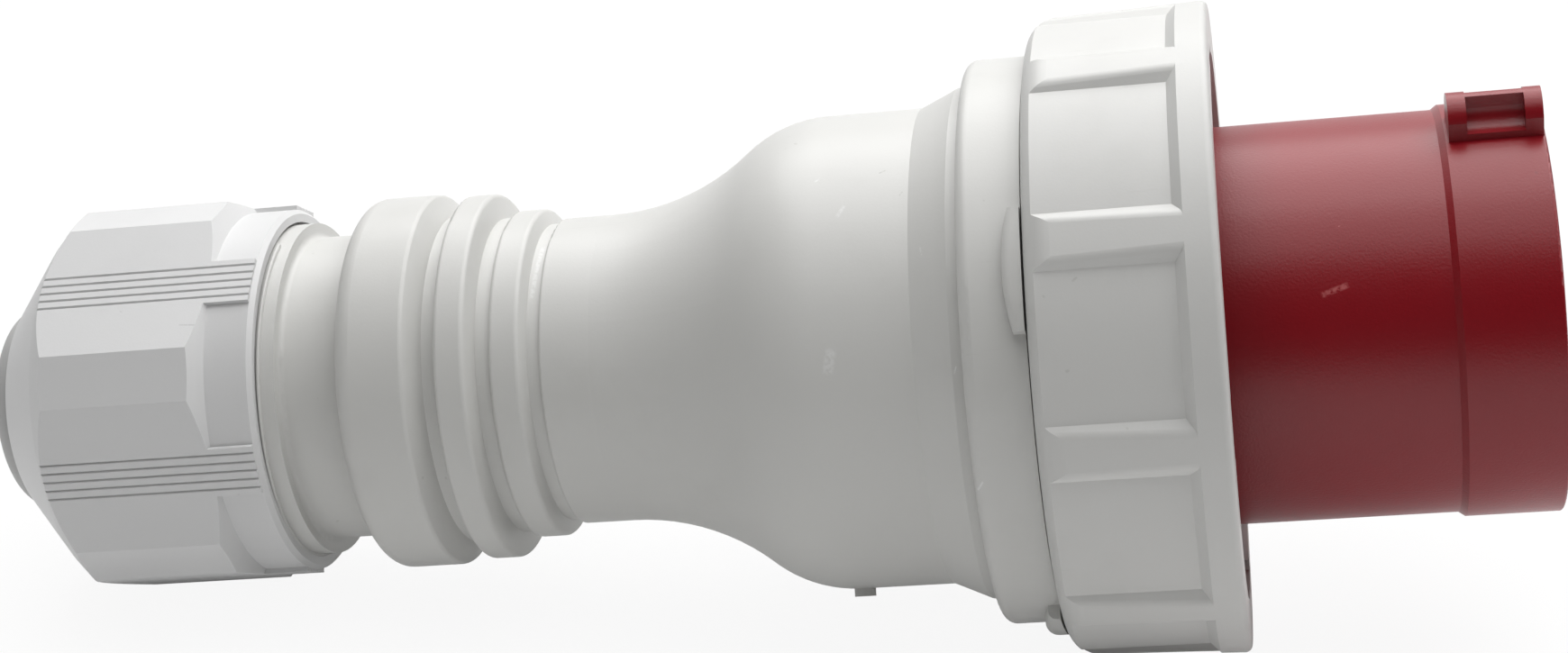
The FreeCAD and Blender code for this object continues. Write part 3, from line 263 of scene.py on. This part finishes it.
class Skin(Finish):
    """A finish that knows the plug's own axis, however the plug lies."""

    def __init__(self, name):
        super().__init__(name)
        seen = self.node("ShaderNodeTexCoord", output="Object")
        turned = {"Vector": seen, "Location": lies_at, "Rotation": lies_turned}
        self.place = self.node("ShaderNodeMapping", {"vector_type": "TEXTURE"}, turned)
        self.along, across, up = self.axes(self.place)
        self.round = up.maths("ARCTAN2", up, across * -1.0)

    def stroke(self, start, end, radius, width):
        """1 on a thin mark between two spots, each (mm along, degrees round the axis)."""
        ends = [Vector((x, math.radians(turn) * radius)) * mm for x, turn in (start, end)]
        middle = (ends[0] + ends[1]) / 2
        way = (ends[1] - ends[0]).normalized()
        half = (ends[1] - ends[0]).length / 2
        edge = width / 2 * mm
        out_x = self.along - middle.x
        out_y = self.round * (radius * mm) - middle.y
        past = abs(out_x * way.x + out_y * way.y)
        aside = abs(out_y * way.x - out_x * way.y)
        inside = 1.0 - self.step(past, half, half + edge)
        return inside * (1.0 - self.step(aside, edge * mark_core, edge))


def moulded(name, colour, soiled, roughness, scuffs=0.35, marks=(), shine=0.42, sandy=0.35):
    """A moulded surface: grain, a little unevenness, faint rubbed streaks, specks, marks."""
    skin = Skin(name)
    cloudy = skin.noise(skin.place, cloud_scale, 4.0, 0.6)
    grain = skin.noise(skin.place, grain_scale)
    streaks = skin.noise(skin.stretch(skin.place, streak_scale), 1.0, 3.0, 0.7)
    rubbed = skin.step(streaks, *streak_edges) * skin.step(cloudy, *rub_patches)
    specks = skin.step(skin.noise(skin.place, speck_scale, 1.0), *speck_edges)
    soil = skin.step(cloudy, *soil_patches)
    dirt = soil * soil_share + specks * speck_share + rubbed * scuffs
    base = skin.mix(dirt, colour, soiled)
    height = skin.noise(skin.place, wave_scale)
    for start, end, radius, width, strength, tint in marks:
        broken = skin.step(skin.noise(skin.place, crumb_scale), *crumbs)
        mark = skin.stroke(start, end, radius, width) * broken
        base = skin.mix(mark * strength, base, tint)
        height = height - mark * mark_sunk
    fine = skin.bump(grain, grain_depth, sandy)
    return skin.surface(
        Base_Color=base,
        Roughness=cloudy * cloud_rough + rubbed * rub_rough + (roughness - cloud_middle),
        Specular_IOR_Level=shine,
        Normal=skin.bump(height, wave_depth, wave_strength, fine),
    )


def dress(material, *names):
    """Put a material on every slot of the named pieces."""
    for name in names:
        for slot in nodes[name].material_slots:
            slot.material = material


housing_finish = moulded(
    "housing", housing_grey, housing_soiled, roughness=0.38, marks=housing_marks
)
dress(housing_finish, "rear_housing")

# The housing's sleeve carries the nut's thread, moulded with it, with a pitch of 3 mm. It is one
# low ridge with sloped sides wound round the sleeve, and shows once the nut is unscrewed.
thread_start = -0.1665
thread_turns = 6.0
thread_pitch = 0.003
thread_root = 0.03044
thread_height = 0.00030
thread_foot = 0.0018
thread_crest = 0.00072
thread_steps = 96


def in_frame():
    """The turn and shift from the plug's own axes to the way that it lies."""
    return Matrix.Translation(lies_at) @ Euler(lies_turned, "XYZ").to_matrix().to_4x4()


class Grower:
    """A Geometry Nodes tree written out in code, and the mesh that it grows."""

    def __init__(self, name):
        self.name = name
        self.tree = bpy.data.node_groups.new(name, "GeometryNodeTree")
        self.tree.interface.new_socket("Geometry", in_out="OUTPUT", socket_type="NodeSocketGeometry")
        self.settings = {}
        self.inlet = self.tree.nodes.new("NodeGroupInput")

    def knob(self, name, kind, value):
        """A named input of the tree, and the output that carries it."""
        item = self.tree.interface.new_socket(name, in_out="INPUT", socket_type=kind)
        self.settings[item.identifier] = value
        return self.inlet.outputs[name]

    def add(self, kind, sockets=None, **settings):
        node = self.tree.nodes.new(kind)
        for name, value in settings.items():
            setattr(node, name, value)
        for name, value in (sockets or {}).items():
            if isinstance(value, bpy.types.NodeSocket):
                self.tree.links.new(value, node.inputs[name])
            else:
                node.inputs[name].default_value = value
        return node

    def grow(self, geometry, material):
        """A plain mesh of what the tree makes."""
        real = self.add("GeometryNodeRealizeInstances", {"Geometry": geometry})
        painted = {"Geometry": real.outputs[0], "Material": material}
        dressed = self.add("GeometryNodeSetMaterial", painted)
        outlet = self.tree.nodes.new("NodeGroupOutput")
        self.tree.links.new(dressed.outputs[0], outlet.inputs[0])
        maker = new_piece(self.name + "_maker", bpy.data.meshes.new(self.name + "_maker"))
        modifier = maker.modifiers.new(self.name, "NODES")
        modifier.node_group = self.tree
        for identifier, value in self.settings.items():
            modifier[identifier] = value
        bpy.context.view_layer.update()
        posed = maker.evaluated_get(bpy.context.evaluated_depsgraph_get())
        mesh = bpy.data.meshes.new_from_object(posed)
        maker.modifiers.remove(modifier)
        bpy.data.objects.remove(maker)
        mesh.name = self.name
        return mesh


thread = Grower("sleeve_thread")
turns = thread.knob("Turns", "NodeSocketFloat", thread_turns)
pitch = thread.knob("Pitch", "NodeSocketFloat", thread_pitch)
radius = thread.knob("Root Radius", "NodeSocketFloat", thread_root)
height = thread.add("ShaderNodeMath", {0: turns, 1: pitch}, operation="MULTIPLY").outputs[0]
winding = {
    "Resolution": thread_steps,
    "Rotations": turns,
    "Start Radius": radius,
    "End Radius": radius,
    "Height": height,
}
helix = thread.add("GeometryNodeCurveSpiral", winding).outputs[0]
ridge_outline = {
    "Bottom Width": thread_foot,
    "Top Width": thread_crest,
    "Height": thread_height,
    "Offset": 0.0,
}
outline_node = "GeometryNodeCurvePrimitiveQuadrilateral"
section = thread.add(outline_node, ridge_outline, mode="TRAPEZOID").outputs[0]
ridge = {"Curve": helix, "Profile Curve": section, "Fill Caps": True}
ridge_mesh = thread.add("GeometryNodeCurveToMesh", ridge).outputs[0]
thread_mesh = thread.grow(ridge_mesh, housing_finish)
along = Matrix.Rotation(math.radians(-90.0), 4, "Y")
thread_mesh.transform(in_frame() @ Matrix.Translation((thread_start, 0.0, 0.0)) @ along)
thread_piece = new_piece("sleeve_thread", thread_mesh)
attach(thread_piece, "plug")

# The bayonet ring is moulded in nearly the same grey and turns on the front body's hub. Fingers
# take hold in its ten pockets, so it is a little more rubbed than the housing.
ring_grey = (0.580, 0.578, 0.563, 1.0)
dress(moulded("ring", ring_grey, housing_soiled, roughness=0.40, scuffs=0.5), "bayonet_ring")

# The gland nut is a separate moulding in a cooler grey. It screws onto the housing's sleeve.
# A short rub crosses one of its flats.
nut_grey = (0.635, 0.635, 0.635, 1.0)
nut_soiled = (0.50, 0.50, 0.50, 1.0)
nut_marks = [
    ((-180.0, 53.3), (-177.3, 53.0), 35.5, 0.40, 0.80, nut_soiled),
]
dress(moulded("nut", nut_grey, nut_soiled, roughness=0.40, marks=nut_marks), "gland_nut")

# The front body with its shroud and key is moulded in red, semi-gloss thermoplastic. The shroud
# has one scratch near the middle, a faint parting line low on its side and a small pale rub.
red = (0.205, 0.0012, 0.0060, 1.0)
red_soiled = (0.145, 0.003, 0.008, 1.0)
red_pale = (0.42, 0.10, 0.10, 1.0)
red_marks = [
    ((15.9, 38.6), (19.4, 40.5), 34.7, 1.30, 0.85, red_pale),
    ((-22.0, -27.5), (53.0, -27.5), 35.0, 0.30, 0.55, red_soiled),
    ((19.0, 57.5), (19.9, 58.1), 34.7, 0.30, 0.40, red_pale),
]
front_finish = moulded(
    "front_body",
    red,
    red_soiled,
    roughness=0.34,
    scuffs=0.4,
    marks=red_marks,
    shine=0.46,
    sandy=1.0,
)
dress(front_finish, "front_body")

# The grommet is a moulded sleeve of grey rubber inside the clamp cage, with a hole for the cable.
# Only its rounded nose shows.
grommet_grey = (0.47, 0.47, 0.465, 1.0)
grommet_soiled = (0.38, 0.38, 0.37, 1.0)
dress(moulded("grommet", grommet_grey, grommet_soiled, roughness=0.55), "cable_grommet")

# Behind the shroud's base sits the carrier, a dark moulded insulating block that holds the
# contacts. Three screws hold it in the front body.
block_dark = (0.020, 0.020, 0.022, 1.0)
block_pale = (0.040, 0.040, 0.042, 1.0)
dress(moulded("carrier", block_dark, block_pale, roughness=0.45), "contact_carrier")

# The clamp cage and the thrust washer in the gland are moulded in pale nylon. The nut presses the
# washer against the cage, whose fingers close on the grommet.
nylon = (0.74, 0.73, 0.69, 1.0)
nylon_soiled = (0.60, 0.58, 0.52, 1.0)
nylon_finish = moulded("nylon", nylon, nylon_soiled, roughness=0.40)
dress(nylon_finish, "clamp_cage", "thrust_washer")

# The two seals are black rubber, slightly dusty: a flat gasket round the shroud at its flange,
# and an O-ring on the spigot that goes into the housing.
seal_black = (0.012, 0.012, 0.012, 1.0)
seal_dusty = (0.05, 0.05, 0.05, 1.0)
dress(moulded("seal", seal_black, seal_dusty, roughness=0.60), "face_gasket", "housing_oring")

# The contacts are turned from brass and nickel plated, with fine turning marks. The carrier holds
# them, and each has a barrel at its back for a wire.
plated = (0.66, 0.62, 0.54, 1.0)
plated_worn = (0.62, 0.50, 0.30, 1.0)
turning_scale = (5200.0, 60.0, 60.0)
turning_depth = 0.00002
turning_strength = 0.4
turning_rough = 0.12
wear_scale = 160.0
wear_edges = (0.52, 0.70)
wear_share = 0.4
wear_rough = 0.10


def turned_metal(name, colour, worn, roughness):
    """Plated metal: fine turning marks across the plug's axis, and worn patches."""
    skin = Skin(name)
    rings = skin.noise(skin.stretch(skin.place, turning_scale), 1.0, 3.0, 0.6)
    rubbed = skin.step(skin.noise(skin.place, wear_scale, 4.0), *wear_edges)
    return skin.surface(
        Base_Color=skin.mix(rubbed * wear_share, colour, worn),
        Metallic=1.0,
        Roughness=rings * turning_rough + rubbed * wear_rough + roughness,
        Normal=skin.bump(rings, turning_depth, turning_strength),
    )


contact_names = ("pin_earth", "pin_neutral", "pin_l1", "pin_l2", "pin_l3", "pin_pilot")
dress(turned_metal("contact", plated, plated_worn, roughness=0.18), *contact_names)

# All screws are turned from steel and zinc plated. They hold the wires in the contacts, the
# housing on the front body and the carrier in the front body.
zinc = (0.56, 0.57, 0.58, 1.0)
zinc_worn = (0.40, 0.40, 0.38, 1.0)
screw_names = [name for name in nodes if "screw" in name]
dress(turned_metal("screw", zinc, zinc_worn, roughness=0.28), *screw_names)
